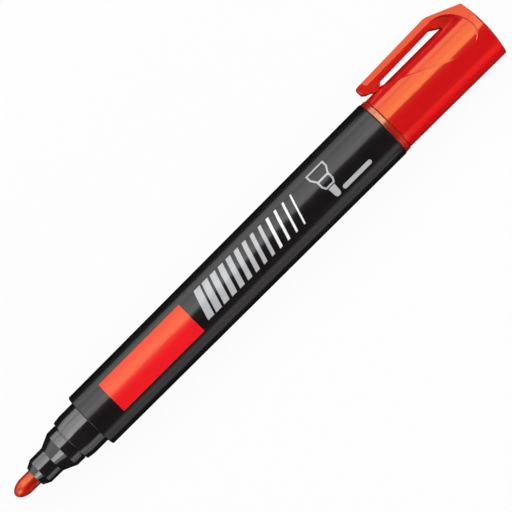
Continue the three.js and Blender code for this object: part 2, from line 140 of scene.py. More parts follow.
# Print, placed by x and by the distance s round the barrel from its +Z line to the clip's side
PRINT_LIFTS = (0.02, -0.03)
PANEL_X = (7.24, 32.36)
PANEL_LOW, PANEL_HIGH = -3.85, 4.75
PANEL_GRID = (80, 40)
BAR_COUNT, GREY_BAR_COUNT = 13, 9
BARS_START, BAR_PITCH = 34.6, 2.5
BAR_WIDTH, BAR_THINNING = 1.9, 0.12
BAR_LOW, BAR_HIGH, BAR_LEAN = -2.7, 4.5, 2.2
BAR_GRID = (24, 4)
SIGN_MIDDLE = 74.8
SIGN_OUTLINE = [
    (-2.45, 4.75), (2.45, 4.75), (2.45, 3.3), (1.6, 1.9), (1.6, 0.35),
    (1.15, -0.5), (-1.15, -0.5), (-1.6, 0.35), (-1.6, 1.9), (-2.45, 3.3),
]
SIGN_LINE = 0.42
SIGN_RUNG_HALF, SIGN_RUNG_S, SIGN_RUNG_LINE = 1.45, 1.75, 0.45
SIGN_NIB_HALF, SIGN_NIB_TOP, SIGN_NIB_SIDE, SIGN_NIB_REACH = 0.93, -0.93, -0.95, 2.75
SIGN_NIB_SQUARE, SIGN_NIB_BLUNT = 4, 0.9
SIGN_NIB_GRID = (24, 8)
STROKE_X = (76.5, 85.2)
STROKE_S, STROKE_WIDTH = -3.12, 1.12
STROKE_STEP, STROKE_ROWS, STROKE_LEAST = 0.12, 6, 0.01
LINE_STEP = 0.25
MITRE_LIMIT = 0.3

# Cap and its side pockets
CAP_LENGTH = 31.0
CAP_MOUTH_RADIUS = 7.15
CAP_END_RADIUS = 7.35
CAP_LIP = ((0.0, 0.15), (0.02, 0.09), (0.06, 0.035), (0.15, 0.0))
CAP_BORE = ((0.0, 6.0), (0.04, 5.9), (0.15, 5.85), (29.2, 5.7), (29.6, 5.4))
DOME_RADIUS = 33.5
DOME_SHIFT = 0.9
RIM_ROUND = 0.2
POCKET_LOW = -1.2
POCKET_MID = 2.5
POCKET_END_X = 28.6
POCKET_LOW_X = 24.5
POCKET_DEPTH = 0.37
POCKET_LINE_START = (4.5, CAP_END_RADIUS + 0.05)
POCKET_LINE_END = (CAP_LENGTH - 9.1, POCKET_LOW)
# Width of a pocket's wall, and how it widens where the pocket is deeper
POCKET_WALL = 0.24
POCKET_WALL_GROWTH = 0.2
POCKET_WALL_DROP = 0.45
FAR_INSIDE = 5.0

# Clip and the ridge that it grows out of
CLIP_HALF = 2.3
CLIP_FRONT = 0.1
CLIP_TIP_ROUND = 0.65
CLIP_TIP_CORNER = 0.3
CLIP_TIP_TOP = 10.64
CLIP_BEND_TOP = 11.13
BEND_X = 22.2
BEND_ROUND = 0.35
SEAM_X = 23.2
RIDGE_END_TOP = 7.22
RIDGE_SLOPE = (CLIP_BEND_TOP - RIDGE_END_TOP) / (CAP_LENGTH - BEND_X)
RIDGE_TILT = math.radians(56.0)
RIDGE_ROUND = 0.14
RIDGE_LEAST_COS = 0.2
BEVEL_START = 1.9
BEVEL_RUN = 0.5
BEVEL_MARGIN = 0.03
FACE_MARGIN = 0.4
FOOT_X = 3.5
FOOT_GAP = 0.02
UNDER_BLUR = (-0.12, -0.06, 0, 0.06, 0.12)
UNDER_POINTS = 7
CLIP_FILLET_STEPS = 4
CLIP_FACE_FILLET = 0.1
CLIP_SIDE_FILLET = 0.06
CLIP_UNDER_FILLET = 0.25
ARM_UNDER_FILLET = 0.65
# Stretches of the free arm and of the foot: start, rise, end and fall
ARM_STRETCH = (4.5, 1.5, 22.6, 1.6)
FOOT_STRETCH = (1.9, 1.0, 5.2, 1.1)
# Start, end and step of the clip's sections, closer at the bevels' start, the foot and the root
CLIP_TIP_SECTIONS = 10
CLIP_SECTIONS = (
    (0.9, BEVEL_START, 0.15),
    (BEVEL_START, 2.42, 0.05),
    (2.45, 6.2, 0.1),
    (6.5, 20.6, 0.5),
    (20.7, SEAM_X, 0.1),
)

# Columns of the cap's surface in degrees from the clip's side, and its rows in x
LEDGE_START = 11
LEDGE_COLUMNS = 38
LEDGE_SNAP = 0.035
CREASE_X = 26.0
POCKET_COLUMN_STEP = 0.7
POCKET_COLUMNS_END = 96
BACK_START = 97
BACK_COLUMN_STEP = 2.5
MOUTH_ROWS_END = 4.2
MOUTH_ROW_STEP = 0.6
POCKET_ROWS_START = 4.3
POCKET_ROWS_END = SEAM_X - 0.05
POCKET_ROW_STEP = 0.15
ROOT_ROW_STEP = 0.08
RIM_ROWS_START = 29.0
RIM_ROWS = 11
RIM_ROUND_ROWS = 4
DOME_ROWS = 12
# The rim's place is found by repeating the sum from this guess
RIM_GUESS = 30.0
RIM_PASSES = 30

# Noise between these values is spread over the whole range of a material's colour or gloss
NOISE_LOW, NOISE_HIGH = 0.3, 0.7
# Features for each metre along X, Y and Z
CLOUD_SCALE = (180, 420, 420)
MARK_SCALE = (90, 2600, 2600)
GRAIN_SCALE = (5200, 5200, 5200)
STRAND_SCALE = (500, 9000, 9000)
SOAK_SCALE = (900, 1300, 1300)
PORE_SCALE = (4200, 4200, 4200)
# Bump depths in metres
GRAIN_DEPTH = 2.0e-6
HOLDER_GRAIN_DEPTH = 1.2e-6
PRINT_GRAIN_DEPTH = 1e-6
STRAND_DEPTH = 0.9e-5
PORE_DEPTH = 1.1e-5
MARK_DEPTH_SHARE = 0.3
STRAND_SHADE = 0.22

# The studio, in metres and degrees. The floor shines white to the camera and in gloss.
FLOOR_HALF = 4
FLOOR_GLOW = 0.93
CARD_LIFT = 0.0001
HORIZON_FADE = (0.295, 0.325)
BESIDE_FADE = (0.45, 0.65)
BESIDE_LIGHT, ALONG_LIGHT, SKY_LIGHT = 1.6, 0.10, 0.04
CAMERA_PLACE = (0.00155, -0.00181, 0.7069)
CAMERA_TURN = 44.954
CAMERA_LENS = 220
# Lamps that light the surfaces, and shines that are seen only in gloss, as name, tilt_y, tilt_x,
# distance, width, height and radiance
LAMPS = [
    ("key_softbox", 26, 0, 1.25, 0.75, 1.4, 3.0),
    ("fill_softbox", -78, 0, 1.0, 0.9, 0.3, 2.9),
    ("end_softbox", 0, 65, 1.0, 0.4, 0.8, 8.0),
    ("front_softbox", -10, -68, 1.0, 0.4, 0.8, 4.8),
]
SHINES = [
    ("high_softbox", 23.75, 0, 1.25, 1.2, 0.497, 5.6),
    ("middle_softbox", 47.5, 0, 1.25, 1.2, 0.5542, 4.5),
    ("low_softbox", 65.5, 0, 1.25, 1.2, 0.2407, 3.1),
    ("edge_softbox", 80.5, 0, 1.25, 1.2, 0.4183, 2.1),
    ("cone_softbox", 50, -47, 1.25, 1.0, 1.95, 1.7),
    ("nose_softbox", -12, -53, 1.25, 0.64, 0.48, 5.2),
    ("nose_fade_softbox", -34, -52, 1.25, 0.62, 0.6, 2.0),
]
# Cards that lie on the floor, and flags that stand beside the marker
CARD_SPLIT_X = 0.0425
CARD_FRONT_X, CARD_REAR_X = -0.1, 0.1
PEN_CARD_Y = (-0.033, 0.058)
CAP_CARD_Y = (-0.12, 0.4)
CARD_FAR_Y = 0.4
CARD_LIGHT = 2.6
RED_FLAG_X, RED_FLAG_Y, RED_FLAG_Z = (0.0453, 0.09), -0.04, (0.0038, 0.0245)
RED_FLAG_LIGHT, RED_FLAG_COLOUR = 3.0, (1.0, 0.0, 0.03)
NIB_FLAG_X, NIB_FLAG_Y, NIB_FLAG_Z = (-0.2, -0.0705), -0.025, (0, 0.023)


def smooth(t):
    """Eases from 0 to 1 as t does."""
    t = np.clip(t, 0, 1)
    return t * t * (3 - 2 * t)


def smin(a, b, k):
    """The lesser of a and b, rounded where they are less than k apart."""
    h = np.clip(0.5 + 0.5 * (b - a) / k, 0, 1)
    return b + (a - b) * h - k * h * (1 - h)


def make_mesh(name, verts, faces, origin, body, mat, replaces=(), sharp=35, outward=False):
    """A visible piece from points in millimetres about origin. sharp is in degrees."""
    mesh = bpy.data.meshes.new(name)
    mesh.from_pydata([tuple(v) for v in np.asarray(verts) + origin], [], faces)
    mesh.validate()
    if outward:
        work = bmesh.new()
        work.from_mesh(mesh)
        bmesh.ops.recalc_face_normals(work, faces=work.faces)
        work.to_mesh(mesh)
        work.free()
    mesh.polygons.foreach_set("use_smooth", [True] * len(mesh.polygons))
    mesh.set_sharp_from_angle(angle=math.radians(sharp))
    mesh.materials.append(mat)
    obj = bpy.data.objects.new(name, mesh)
    bpy.context.scene.collection.objects.link(obj)
    # Wide faces keep their own direction, so that only the fillets between them shade round
    weighted = obj.modifiers.new("weighted", "WEIGHTED_NORMAL")
    weighted.keep_sharp = True
    shaded = obj.evaluated_get(bpy.context.evaluated_depsgraph_get())
    obj.data = bpy.data.meshes.new_from_object(shaded)
    obj.modifiers.clear()
    bpy.data.meshes.remove(mesh)
    obj.data.name = name
    obj.data.transform(Matrix.Scale(1 / METRE, 4))
    if body:
        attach(obj, body)
    if replaces:
        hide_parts(*replaces)
    return obj


def rounded(corners, steps=5):
    """A closed outline of (x, radius, fillet) corners as points, with round fillets."""
    points = []
    count = len(corners)
    for i, corner in enumerate(corners):
        here = np.array(corner[:2], float)
        fillet = corner[2] if len(corner) > 2 else 0
        back = np.array(corners[i - 1][:2], float) - here
        ahead = np.array(corners[(i + 1) % count][:2], float) - here
        if not fillet:
            points.append(here)
            continue
        lb, la = np.linalg.norm(back), np.linalg.norm(ahead)
        back, ahead = back / lb, ahead / la
        half = math.acos(np.clip(back @ ahead, -1, 1)) / 2
        run = min(fillet / math.tan(half), lb * FILLET_SHARE, la * FILLET_SHARE)
        radius = run * math.tan(half)
        bisector = (back + ahead) / np.linalg.norm(back + ahead)
        centre = here + bisector * radius / math.sin(half)
        start, end = here + back * run - centre, here + ahead * run - centre
        a0 = math.atan2(start[1], start[0])
        sweep = (math.atan2(end[1], end[0]) - a0 + math.pi) % (2 * math.pi) - math.pi
        for k in range(steps + 1):
            a = a0 + sweep * k / steps
            points.append(centre + radius * np.array([math.cos(a), math.sin(a)]))
    return np.array(points)


def lathe(profile, steps):
    """Vertices and faces of a closed outline of (x, radius) points turned about the X axis."""
    pts = np.asarray(profile)
    area = np.sum(pts[:, 0] * np.roll(pts[:, 1], -1) - np.roll(pts[:, 0], -1) * pts[:, 1])
    if area < 0:
        pts = pts[::-1]
    verts, rings = [], []
    for x, r in pts:
        if r < ON_AXIS:
            rings.append([len(verts)])
            verts.append((x, 0, 0))
            continue
        rings.append(list(range(len(verts), len(verts) + steps)))
        for j in range(steps):
            a = 2 * math.pi * j / steps
            verts.append((x, r * math.cos(a), r * math.sin(a)))
    faces = []
    for i in range(len(rings)):
        a, b = rings[i], rings[(i + 1) % len(rings)]
        if len(a) == 1 and len(b) == 1:
            continue
        for j in range(steps):
            k = (j + 1) % steps
            if len(a) == 1:
                faces.append((a[0], b[j], b[k]))
            elif len(b) == 1:
                faces.append((a[j], b[0], a[k]))
            else:
                faces.append((a[j], b[j], b[k], a[k]))
    return verts, faces


def material(name):
    mat = bpy.data.materials.new(name)
    mat.use_nodes = True
    nodes, links = mat.node_tree.nodes, mat.node_tree.links
    return mat, nodes, links, nodes["Principled BSDF"]


def coords(nodes, links, scale):
    """Object coordinates, stretched by scale, in features for each metre."""
    tex = nodes.new("ShaderNodeTexCoord")
    mapping = nodes.new("ShaderNodeMapping")
    mapping.inputs["Scale"].default_value = scale
    links.new(tex.outputs["Object"], mapping.inputs["Vector"])
    return mapping.outputs["Vector"]


def axes(nodes, links, system):
    """The X, Y and Z outputs of a coordinate system."""
    tex = nodes.new("ShaderNodeTexCoord")
    split = nodes.new("ShaderNodeSeparateXYZ")
    links.new(tex.outputs[system], split.inputs["Vector"])
    return split.outputs


def noise(nodes, links, scale, detail, rough=0.5):
    tex = nodes.new("ShaderNodeTexNoise")
    tex.inputs["Scale"].default_value = 1.0
    tex.inputs["Detail"].default_value = detail
    tex.inputs["Roughness"].default_value = rough
    links.new(coords(nodes, links, scale), tex.inputs["Vector"])
    return tex.outputs["Fac"]


def calc(nodes, links, operation, *values):
    """A maths node. Each of its values is a number or a socket."""
    node = nodes.new("ShaderNodeMath")
    node.operation = operation
    for socket, value in zip(node.inputs, values):
        if isinstance(value, float):
            socket.default_value = value
        else:
            links.new(value, socket)
    return node.outputs[0]


def remap(nodes, links, value, source, low, high, interpolation="SMOOTHSTEP"):
    """Takes value from the range source to the range from low to high."""
    node = nodes.new("ShaderNodeMapRange")
    node.interpolation_type = interpolation
    node.inputs["From Min"].default_value = source[0]
    node.inputs["From Max"].default_value = source[1]
    node.inputs["To Min"].default_value = low
    node.inputs["To Max"].default_value = high
    links.new(value, node.inputs["Value"])
    return node.outputs["Result"]


def span(nodes, links, value, low, high):
    """Spreads a noise from low to high."""
    return remap(nodes, links, value, (NOISE_LOW, NOISE_HIGH), low, high, "LINEAR")


def mix_colour(nodes, links, value, a, b):
    """Spreads a noise between two colours."""
    ramp = nodes.new("ShaderNodeValToRGB")
    ramp.color_ramp.elements[0].position = NOISE_LOW
    ramp.color_ramp.elements[1].position = NOISE_HIGH
    ramp.color_ramp.elements[0].color = (*a, 1)
    ramp.color_ramp.elements[1].color = (*b, 1)
    links.new(value, ramp.inputs["Fac"])
    return ramp.outputs["Color"]


def emission(nodes, strength, colour=(1, 1, 1)):
    glow = nodes.new("ShaderNodeEmission")
    glow.inputs["Color"].default_value = (*colour, 1)
    glow.inputs["Strength"].default_value = strength
    return glow.outputs["Emission"]


def gloss(bsdf, specular, ior, tint):
    bsdf.inputs["IOR"].default_value = ior
    bsdf.inputs["Specular IOR Level"].default_value = specular
    bsdf.inputs["Specular Tint"].default_value = (*tint, 1)


def bump(nodes, links, bsdf, heights):
    """Chains bumps: (height socket, depth in metres) pairs."""
    normal = None
    for height, depth in heights:
        node = nodes.new("ShaderNodeBump")
        node.inputs["Strength"].default_value = 1.0
        node.inputs["Distance"].default_value = depth
        links.new(height, node.inputs["Height"])
        if normal:
            links.new(normal, node.inputs["Normal"])
        normal = node.outputs["Normal"]
    links.new(normal, bsdf.inputs["Normal"])


def plastic(name, colour, shade, rough, specular, ior=1.5, tint=(1, 1, 1), grain=GRAIN_DEPTH):
    """Moulded plastic: faint mottling, draw marks along the axis and a fine moulded grain."""
    mat, nodes, links, bsdf = material(name)
    clouds = noise(nodes, links, CLOUD_SCALE, detail=2.0)
    links.new(mix_colour(nodes, links, clouds, colour, shade), bsdf.inputs["Base Color"])
    marks = noise(nodes, links, MARK_SCALE, detail=3.0, rough=0.6)
    links.new(span(nodes, links, marks, rough * 0.88, rough * 1.14), bsdf.inputs["Roughness"])
    gloss(bsdf, specular, ior, tint)
    fine = noise(nodes, links, GRAIN_SCALE, detail=2.0)
    bump(nodes, links, bsdf, [(marks, grain * MARK_DEPTH_SHARE), (fine, grain)])
    return mat


def painted_shade_split(mat, place, width, front, rear):
    """Colours a plastic front before place along the axis and rear behind it, both in metres. The
    darker front is painted shade.
    """
    nodes, links = mat.node_tree.nodes, mat.node_tree.links
    along = axes(nodes, links, "Object")["X"]
    share = remap(nodes, links, along, (place - width / 2, place + width / 2), 0.0, 1.0)
    mixer = nodes.new("ShaderNodeMix")
    mixer.data_type = "RGBA"
    links.new(share, mixer.inputs["Factor"])
    mixer.inputs["A"].default_value = (*front, 1)
    mixer.inputs["B"].default_value = (*rear, 1)
    links.new(mixer.outputs["Result"], nodes["Principled BSDF"].inputs["Base Color"])


def fibre(name, light, dark, rough, specular=0.35, ior=1.5, tint=(1, 1, 1)):
    """Pressed fibre: strands along the axis, soaked unevenly with ink."""
    mat, nodes, links, bsdf = material(name)
    strands = noise(nodes, links, STRAND_SCALE, detail=4.0, rough=0.65)
    soak = noise(nodes, links, SOAK_SCALE, detail=3.0)
    shade = span(nodes, links, strands, -STRAND_SHADE, STRAND_SHADE)
    mixed = calc(nodes, links, "ADD", shade, soak)
    links.new(mix_colour(nodes, links, mixed, dark, light), bsdf.inputs["Base Color"])
    links.new(span(nodes, links, strands, rough * 1.1, rough * 0.85), bsdf.inputs["Roughness"])
    gloss(bsdf, specular, ior, tint)
    pores = noise(nodes, links, PORE_SCALE, detail=3.0, rough=0.7)
    bump(nodes, links, bsdf, [(strands, STRAND_DEPTH), (pores, PORE_DEPTH)])
    return mat


barrel_mat = plastic(
    "barrel_plastic", (0.0078, 0.0062, 0.0066), (0.0096, 0.0078, 0.0082), rough=0.2, specular=0.25)
holder_mat = plastic(
    "holder_plastic", (0.0100, 0.0088, 0.0090), (0.0120, 0.0106, 0.0108),
    rough=0.12, specular=0.59, grain=HOLDER_GRAIN_DEPTH)
nib_mat = fibre(
    "nib_fibre", (0.58, 0.004, 0.003), (0.28, 0.002, 0.002),
    rough=0.3, specular=1.0, ior=1.6, tint=(0.9, 0.36, 0.13))
reservoir_mat = fibre("reservoir_fibre", (0.36, 0.012, 0.014), (0.22, 0.006, 0.008), rough=0.9)
film_mat = plastic(
    "film_plastic", (0.74, 0.72, 0.68), (0.80, 0.78, 0.74), rough=0.3, specular=0.5)
cap_mat = plastic(
    "cap_plastic", (0.58, 0.0058, 0.0084), (0.62, 0.0064, 0.0090),
    rough=0.14, specular=1.0, tint=(0.75, 0.42, 0.13))
plug_mat = plastic(
    "plug_plastic", (0.48, 0.03, 0.012), (0.48, 0.03, 0.012),
    rough=0.2, specular=1.0, ior=1.65, tint=(0.72, 0.60, 0.34))
# Painted shade: the plug's ring between the barrel and the cap is painted darker in front than
# behind
painted_shade_split(
    plug_mat, place=0.04252, width=0.0001,
    front=(0.34, 0.0085, 0.0075), rear=(0.39, 0.0135, 0.0050))
liner_mat = plastic(
    "liner_plastic", (0.78, 0.75, 0.68), (0.84, 0.81, 0.74), rough=0.42, specular=0.5)
print_grey = plastic(
    "print_grey", (0.42, 0.43, 0.44), (0.46, 0.47, 0.48),
    rough=0.3, specular=0.3, grain=PRINT_GRAIN_DEPTH)
print_white = plastic(
    "print_white", (0.78, 0.78, 0.78), (0.83, 0.83, 0.83),
    rough=0.3, specular=0.3, grain=PRINT_GRAIN_DEPTH)
print_red = plastic(
    "print_red", (0.82, 0.0100, 0.0175), (0.86, 0.0108, 0.0190),
    rough=0.22, specular=0.8, tint=(0.75, 0.42, 0.16), grain=PRINT_GRAIN_DEPTH)

for node, mat in {
    "barrel": barrel_mat,
    "nib_holder": holder_mat,
    "nib": nib_mat,
    "ink_reservoir": reservoir_mat,
    "reservoir_film": film_mat,
    "end_plug": plug_mat,
    "cap_shell": cap_mat,
    "cap_liner": liner_mat,
    "pocket_clip": cap_mat,
}.items():
    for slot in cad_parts[node].material_slots:
        slot.material = mat


def turned(name, outline, mat, node, steps=TURN_STEPS):
    """A turned piece of the pen in place of a CAD node."""
    verts, faces = lathe(outline, steps)
    make_mesh(name, verts, faces, SHOULDER, "pen", mat, [node])


def nib_outline():
    point = [
        (NIB_TIP + NIB_POINT_LENGTH * (1 - math.cos(a)), NIB_RADIUS * math.sin(a))
        for a in np.linspace(0, math.pi / 2, NIB_POINT_STEPS)
    ]
    return np.array(point + NIB_TAIL)


def build_pen():
    turned("neck", rounded(NECK_OUTLINE), holder_mat, "barrel")
    turned("barrel_body", rounded(BODY_OUTLINE), barrel_mat, "barrel")
    turned("nose", rounded(NOSE_OUTLINE), holder_mat, "nib_holder")
    turned("bullet_nib", nib_outline(), nib_mat, "nib", NIB_STEPS)
    turned("plug", rounded(PLUG_OUTLINE), plug_mat, "end_plug")


def barrel_radius(x):
    taper = BARREL_REAR_RADIUS - BARREL_FRONT_RADIUS
    return BARREL_FRONT_RADIUS + taper * x / BARREL_LENGTH


def wrap(x, s, lift):
    """The point on the barrel at x and s, moved out by lift."""
    radius = barrel_radius(x)
    return x, (radius + lift) * math.sin(s / radius), (radius + lift) * math.cos(s / radius)


def printed(name, patches, mat):
    """Thin patches, each a grid of (x, s) points, as closed shells that stand on the barrel."""
    verts, faces = [], []
    for grid in patches:
        rows, n = len(grid), len(grid[0])
        base = len(verts)
        total = rows * n
        for lift in PRINT_LIFTS:
            verts += [wrap(x, s, lift) for row in grid for x, s in row]
        for i in range(rows - 1):
            for j in range(n - 1):
                a = base + i * n + j
                quad = (a, a + 1, a + n + 1, a + n)
                faces.append(quad)
                faces.append(tuple(v + total for v in quad[::-1]))
        edge = list(range(n)) + [i * n + n - 1 for i in range(1, rows)]
        edge += [(rows - 1) * n + j for j in range(n - 2, -1, -1)]
        edge += [i * n for i in range(rows - 2, 0, -1)]
        for k, a in enumerate(edge):
            b = edge[(k + 1) % len(edge)]
            faces.append((base + a, base + a + total, base + b + total, base + b))
    make_mesh(name, verts, faces, SHOULDER, "pen", mat, outward=True)


def field(x0, x1, low, high, columns, rows):
    """A patch between x0 and x1. low and high give its edges at a share u of its length."""
    grid = []
    for u in np.linspace(0, 1, columns + 1):
        x = x0 + (x1 - x0) * u
        grid.append([(x, s) for s in np.linspace(low(u), high(u), rows + 1)])
    return grid


def stroke(x0, x1, middle, width):
    """A patch with round ends."""
    half = width / 2
    length = x1 - x0

    def reach(u):
        inset = min(u * length, (1 - u) * length)
        if inset >= half:
            return half
        return max(math.sqrt(max(half**2 - (half - inset) ** 2, 0)), STROKE_LEAST)

    columns = int(length / STROKE_STEP)
    return field(
        x0, x1, lambda u: middle - reach(u), lambda u: middle + reach(u), columns, STROKE_ROWS)


def slanted(x, width):
    """A bar across the print that leans forwards, with its foot at x."""
    grid = []
    for s in np.linspace(BAR_LOW, BAR_HIGH, BAR_GRID[0] + 1):
        start = x + BAR_LEAN * (s - BAR_LOW) / (BAR_HIGH - BAR_LOW)
        grid.append([(start + width * u, s) for u in np.linspace(0, 1, BAR_GRID[1] + 1)])
    return grid


def line(points, width, closed=False):
    """A line of even width through (x, s) points, with mitred corners."""
    pts = [np.array(p, float) for p in points]
    count = len(pts)
    stops = []
    for i, here in enumerate(pts):
        ahead = pts[(i + 1) % count] - here if closed or i < count - 1 else here - pts[i - 1]
        back = here - pts[i - 1] if closed or i > 0 else ahead
        ahead, back = ahead / np.linalg.norm(ahead), back / np.linalg.norm(back)
        side = np.array([-ahead[1] - back[1], ahead[0] + back[0]])
        side = side / np.linalg.norm(side)
        side = side / max(side @ np.array([-ahead[1], ahead[0]]), MITRE_LIMIT) * width / 2
        stops.append((here - side, here + side))
    if closed:
        stops.append(stops[0])
    patches = []
    for (a0, b0), (a1, b1) in zip(stops, stops[1:]):
        shares = np.linspace(0, 1, max(2, int(np.linalg.norm(a1 - a0) / LINE_STEP)))
        patches.append([[tuple(a0 + (a1 - a0) * u), tuple(b0 + (b1 - b0) * u)] for u in shares])
    return patches


def sign_nib_edge(u):
    """The lower edge of the sign's nib at a share u of its width."""
    bulge = math.sqrt(max(1 - (2 * u - 1) ** SIGN_NIB_SQUARE, 0.0)) ** SIGN_NIB_BLUNT
    return SIGN_NIB_SIDE - SIGN_NIB_REACH * bulge


def build_print():
    panel = field(*PANEL_X, lambda u: PANEL_LOW, lambda u: PANEL_HIGH, *PANEL_GRID)
    printed("red_panel", [panel], print_red)
    # Slanting bars that grow thinner, with white ones at the end
    bars = [
        slanted(BARS_START + BAR_PITCH * k, BAR_WIDTH - BAR_THINNING * k)
        for k in range(BAR_COUNT)
    ]
    printed("grey_bars", bars[:GREY_BAR_COUNT], print_grey)
    printed("white_bars", bars[GREY_BAR_COUNT:], print_white)
    # A plain sign for a bullet nib: a holder in outline, a filled nib below it, and its stroke
    rung = [(SIGN_MIDDLE + x, SIGN_RUNG_S) for x in (-SIGN_RUNG_HALF, SIGN_RUNG_HALF)]
    sign = line([(SIGN_MIDDLE + x, s) for x, s in SIGN_OUTLINE], SIGN_LINE, closed=True)
    sign += line(rung, SIGN_RUNG_LINE)
    sign.append(field(
        SIGN_MIDDLE - SIGN_NIB_HALF, SIGN_MIDDLE + SIGN_NIB_HALF,
        sign_nib_edge, lambda u: SIGN_NIB_TOP, *SIGN_NIB_GRID))
    sign.append(stroke(*STROKE_X, STROKE_S, STROKE_WIDTH))
    printed("nib_sign", sign, print_grey)


def cap_radius(x):
    return CAP_MOUTH_RADIUS + (CAP_END_RADIUS - CAP_MOUTH_RADIUS) * x / CAP_LENGTH


def dome_x(y, z):
    return CAP_LENGTH - DOME_RADIUS + np.sqrt(DOME_RADIUS**2 - (y - DOME_SHIFT) ** 2 - z**2)


def ridge_top(x):
    """Height of the clip's outer face, and of the ridge that it grows out of."""
    share = (CLIP_BEND_TOP - CLIP_TIP_TOP) * (x - CLIP_FRONT) / (BEND_X - CLIP_FRONT)
    return smin(CLIP_TIP_TOP + share, CLIP_BEND_TOP - RIDGE_SLOPE * (x - BEND_X), BEND_ROUND)


def bevel_height(x, z):
    """Height of the ridge's bevel at z."""
    return (cap_radius(x) - z * math.sin(RIDGE_TILT)) / math.cos(RIDGE_TILT)


def bevel_z(x, y):
    """How far out the ridge's bevel is at the height y."""
    return (cap_radius(x) - y * math.cos(RIDGE_TILT)) / math.sin(RIDGE_TILT)


# The pockets' floor is a cylinder set off from the clip. The ledge is where the clip's side face
# runs on past its root, down to that floor.
POCKET_FLOOR = cap_radius(BEND_X) - POCKET_DEPTH
CORE_SHIFT = (cap_radius(BEND_X) ** 2 - POCKET_FLOOR**2) / (2 * (POCKET_FLOOR - POCKET_LOW))
CORE_RADIUS = POCKET_FLOOR + CORE_SHIFT
LEDGE_END = math.sqrt(CORE_RADIUS**2 - CLIP_HALF**2) - CORE_SHIFT

# The clip's underside as (x, y) points, with the foot that rests on the cap
CLIP_FOOT = cap_radius(FOOT_X) + FOOT_GAP
CLIP_UNDER = np.array([
    (CLIP_FRONT, 8.55), (0.95, 7.9), (2.95, CLIP_FOOT), (4.05, CLIP_FOOT), (5.5, 7.95),
    (21.0, 8.28), (SEAM_X, POCKET_FLOOR),
])


def inside_ellipse(x, y, cx, cy, a, b):
    """About the distance inside an ellipse, positive inside."""
    u, v = (x - cx) / a, (y - cy) / b
    q = np.maximum(np.hypot(u, v), TINY)
    return (1 - q) * q / np.hypot(u / a, v / b).clip(TINY / max(a, b))


def inside_arc(x, y):
    """Distance from the pocket's rounded end, positive inside."""
    top = bevel_height(BEND_X, CLIP_HALF)
    upper = inside_ellipse(
        x, y, BEND_X, POCKET_MID, POCKET_END_X - BEND_X, top - POCKET_MID)
    lower = inside_ellipse(
        x, y, POCKET_LOW_X, POCKET_MID, POCKET_END_X - POCKET_LOW_X, POCKET_MID - POCKET_LOW)
    # In front of the arc only the pocket's lower edge counts
    upper = np.where(x < BEND_X, FAR_INSIDE, upper)
    lower = np.where(x < POCKET_LOW_X, y - POCKET_LOW, lower)
    return np.where(y >= POCKET_MID, upper, lower)


def inside_line(x, y):
    """Distance from the pocket's slanting front line, positive inside."""
    x0, y0 = POCKET_LINE_START
    x1, y1 = POCKET_LINE_END
    length = math.hypot(x1 - x0, y1 - y0)
    return ((x - x0) * (y0 - y1) - (y0 - y) * (x1 - x0)) / length


def angle_within_ridge(angle):
    return np.abs(np.arctan2(np.sin(angle), np.cos(angle))) < RIDGE_TILT


def cap_surface(x, angle, ridge):
    """The cap's y and z at x, at angle from the clip's side. ridge adds the clip's root."""
    c, s = np.cos(angle), np.abs(np.sin(angle))
    wall = cap_radius(x)
    flank = wall / np.maximum(c * math.cos(RIDGE_TILT) + s * math.sin(RIDGE_TILT), TINY)
    flank = np.where(c > RIDGE_LEAST_COS, flank, wall)
    crest = ridge_top(x) / np.maximum(c, RIDGE_LEAST_COS)
    fan = smin(flank, crest, RIDGE_ROUND)
    outer = np.where(ridge & angle_within_ridge(angle), np.maximum(wall, fan), wall)
    core = -CORE_SHIFT * c + np.sqrt(CORE_RADIUS**2 - (CORE_SHIFT * s) ** 2)
    block = np.minimum(fan, CLIP_HALF / np.maximum(s, TINY))
    floor = np.minimum(np.where(ridge, np.maximum(core, block), core), outer)
    y, z = outer * c, outer * s
    # Past the clip's end the floor lies below the outer point in z, not towards the axis, so that
    # the clip's side face runs on as a ledge. One column of points follows the ledge's crease.
    ledge = ridge & (z > CLIP_HALF)
    floor_y = np.where(ledge, y, floor * c)
    floor_y = np.where(ledge & (np.abs(y - LEDGE_END) < LEDGE_SNAP), LEDGE_END, floor_y)
    core_z = np.sqrt(np.maximum(CORE_RADIUS**2 - (floor_y + CORE_SHIFT) ** 2, 0))
    floor_z = np.where(ledge, np.minimum(np.maximum(core_z, CLIP_HALF), z), floor * s)
    inside = np.minimum(inside_arc(x, y), inside_line(x, y))
    drop = np.hypot(y - floor_y, z - floor_z)
    width = POCKET_WALL + POCKET_WALL_GROWTH * np.maximum(drop - POCKET_WALL_DROP, 0)
    share = 1 - (1 - np.clip(inside / width, 0, 1)) ** 2
    return y + (floor_y - y) * share, np.sign(np.sin(angle)) * (z + (floor_z - z) * share)


def cap_angles():
    """Angles of the cap's columns of points. One column lies on the ledge's crease."""
    crease = math.degrees(math.atan2(bevel_z(CREASE_X, LEDGE_END), LEDGE_END))
    half = np.radians(np.concatenate([
        np.arange(LEDGE_START),
        np.linspace(LEDGE_START, crease, LEDGE_COLUMNS),
        np.arange(crease + POCKET_COLUMN_STEP, POCKET_COLUMNS_END, POCKET_COLUMN_STEP),
        np.arange(BACK_START, 180, BACK_COLUMN_STEP),
    ]))
    return np.concatenate([half, [math.pi], -half[:0:-1]])


